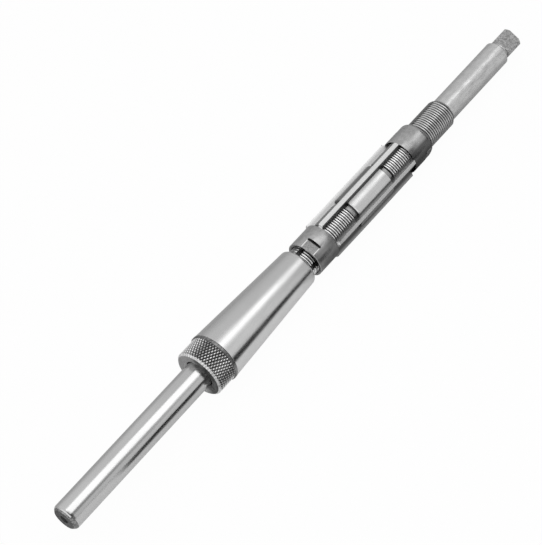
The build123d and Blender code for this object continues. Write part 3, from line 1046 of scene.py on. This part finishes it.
def paintFloor(piece, look):
    # White to the camera, and toned to the metal
    material = bpy.data.materials.new("floorPaint")
    board = Board(material)
    cameraRay = board.node("ShaderNodeLightPath", output="Is Camera Ray")
    glossyRay = board.node("ShaderNodeLightPath", output="Is Glossy Ray")
    place, x, y, up, radius = board.spot()
    tone = floorTone(board, look, x, y)
    colour = board.mix(glossyRay, look["grey"], board.mix(tone, 0.0, 1.0))
    paint = board.node("ShaderNodeBsdfDiffuse", None, {"Color": colour})
    strength = board.blend(glossyRay, 1.0, tone)
    glow = board.node("ShaderNodeEmission", None, {"Color": grey(1.0), "Strength": strength})
    share = cameraRay * look["whiteShare"] + glossyRay * look["glossShare"]
    shader = board.node("ShaderNodeMixShader", None, {0: share, 1: paint, 2: glow})
    board.finish("ShaderNodeOutputMaterial", shader)
    piece.data.materials.append(material)


floor = layFloor(floorLook)
paintFloor(floor, floorLook)

# Tones of the room, and where they change by a ray's heading along x, y or z or by its turn in radians
roomLook = {
    "nearTone": 0.2, "nearWindow": 0.74, "rightWindow": 0.92, "windowLeft": (0.18, 0.27),
    "windowRight": (0.66, 0.58), "windowFoot": (0.0, 0.06), "rightStart": (0.36, 0.46),
    "patchTone": 0.0, "patchTop": (0.68, 0.79), "patchFoot": (1.08, 0.98), "patchRight": (0.345, 0.289),
    "farLow": 0.55, "farHigh": 0.8, "farHeight": (0.0, 0.7), "farRightDrop": 0.12, "farRight": (0.4, 0.48),
    "farSide": (-0.25, 0.0), "glow": 0.72, "glowTop": (-0.12, 0.31), "glowFoot": (0.73, 0.34),
    "glowLeft": (0.38, 0.43), "glowRight": (0.66, 0.58), "coneGlow": 1.8, "coneStart": (0.505, 0.585),
    "shankGlowDrop": 0.6, "shankStart": (0.57, 0.6), "leftTone": 1.15, "left": (-0.5, -0.8),
    "cameraTone": 0.12, "cameraSide": (0.93, 0.98),
}


def roomTone(board, look):
    # Darker on the near side, with a lit window, a black patch in it and a glow above it
    heading = board.node("ShaderNodeTexCoord", output="Generated")
    toX, toY, toZ = board.outputsOf(board.node("ShaderNodeSeparateXYZ", None, {0: heading}))
    toTurn = board.turned(toY, toZ)
    window = toX.rise(*look["windowLeft"]) * toX.rise(*look["windowRight"])
    window = window * toZ.rise(*look["windowFoot"])
    windowTone = board.blend(toX.rise(*look["rightStart"]), look["nearWindow"], look["rightWindow"])
    nearTone = board.blend(window, look["nearTone"], windowTone)
    patch = toTurn.rise(*look["patchTop"]) * toTurn.rise(*look["patchFoot"])
    patch = patch * toX.rise(*look["patchRight"])
    nearTone = board.blend(patch, nearTone, look["patchTone"])
    farTone = board.blend(toZ.rise(*look["farHeight"]), look["farLow"], look["farHigh"])
    farTone = farTone * (1 - toX.rise(*look["farRight"]) * look["farRightDrop"])
    tone = board.blend(toY.rise(*look["farSide"]), nearTone, farTone)
    glow = toTurn.rise(*look["glowTop"]) * toTurn.rise(*look["glowFoot"])
    glow = glow * toX.rise(*look["glowLeft"]) * toX.rise(*look["glowRight"])
    glow = glow * (toX.rise(*look["coneStart"]) * look["coneGlow"] + 1)
    glow = glow * (1 - toX.rise(*look["shankStart"]) * look["shankGlowDrop"])
    tone = tone + glow * look["glow"]
    tone = board.blend(toX.rise(*look["left"]), tone, look["leftTone"])
    facing = board.node("ShaderNodeVectorMath", {"operation": "DOT_PRODUCT"}, {0: heading, 1: toCamera},
                        output="Value")
    return board.blend(facing.rise(*look["cameraSide"]), tone, look["cameraTone"])


def lightRoom():
    # White to the camera, and toned to the tool
    world = bpy.data.worlds.new("studioWorld")
    bpy.context.scene.world = world
    board = Board(world)
    cameraRay = board.node("ShaderNodeLightPath", output="Is Camera Ray")
    tone = roomTone(board, roomLook)
    room = board.node("ShaderNodeBackground", None, {"Color": grey(1.0), "Strength": tone})
    white = board.node("ShaderNodeBackground", None, {"Color": grey(1.0), "Strength": 1.0})
    shader = board.node("ShaderNodeMixShader", None, {0: cameraRay, 1: room, 2: white})
    board.finish("ShaderNodeOutputWorld", shader)


boxLook = {"turn": 15.5, "distance": 0.7, "size": (0.6, 0.6), "shift": -0.03, "power": 1.04}


def placeSoftBox():
    # Above the tool, turned a little towards the camera
    turn = math.radians(boxLook["turn"])
    alongTool = Vector((1, 0, 0))
    away = Vector((0, -math.sin(turn), math.cos(turn)))
    lamp = bpy.data.lights.new("softBox", "AREA")
    lamp.shape = "RECTANGLE"
    lamp.size, lamp.size_y = boxLook["size"]
    lamp.energy = boxLook["power"]
    softBox = bpy.data.objects.new("softBox", lamp)
    bpy.context.scene.collection.objects.link(softBox)
    softBox.location = Vector((boxLook["shift"], 0, axisHeight)) + away * boxLook["distance"]
    softBox.rotation_euler = Matrix((alongTool, away.cross(alongTool), away)).transposed().to_euler()


def placeCamera():
    # Rolled so that the tool lies across the picture as in the photograph
    lens = bpy.data.cameras.new("camera")
    lens.sensor_width = camera["sensor"]
    lens.lens = camera["focalPixels"] * camera["sensor"] / camera["imageHeight"]
    view = bpy.data.objects.new("camera", lens)
    bpy.context.scene.collection.objects.link(view)
    along = (Vector((1, 0, 0)) - toCamera * toCamera.x).normalized()
    across = toCamera.cross(along)
    rightPart, upPart = camera["toolAcross"]
    right = along * rightPart - across * upPart
    up = along * upPart + across * rightPart
    aimLeft = (camera["aimPixel"][0] - camera["imageWidth"] / 2) * camera["metresPerPixel"]
    aimUp = (camera["aimPixel"][1] - camera["imageHeight"] / 2) * camera["metresPerPixel"]
    place = Vector((camera["aimX"], 0, axisHeight)) - right * aimLeft + up * aimUp
    place += toCamera * camera["focalPixels"] * camera["metresPerPixel"]
    turned = Matrix((right, up, toCamera)).transposed().to_4x4()
    view.matrix_world = Matrix.Translation(place) @ turned
    bpy.context.scene.camera = view
    bpy.context.scene.view_settings.view_transform = "Standard"


lightRoom()
placeSoftBox()
placeCamera()
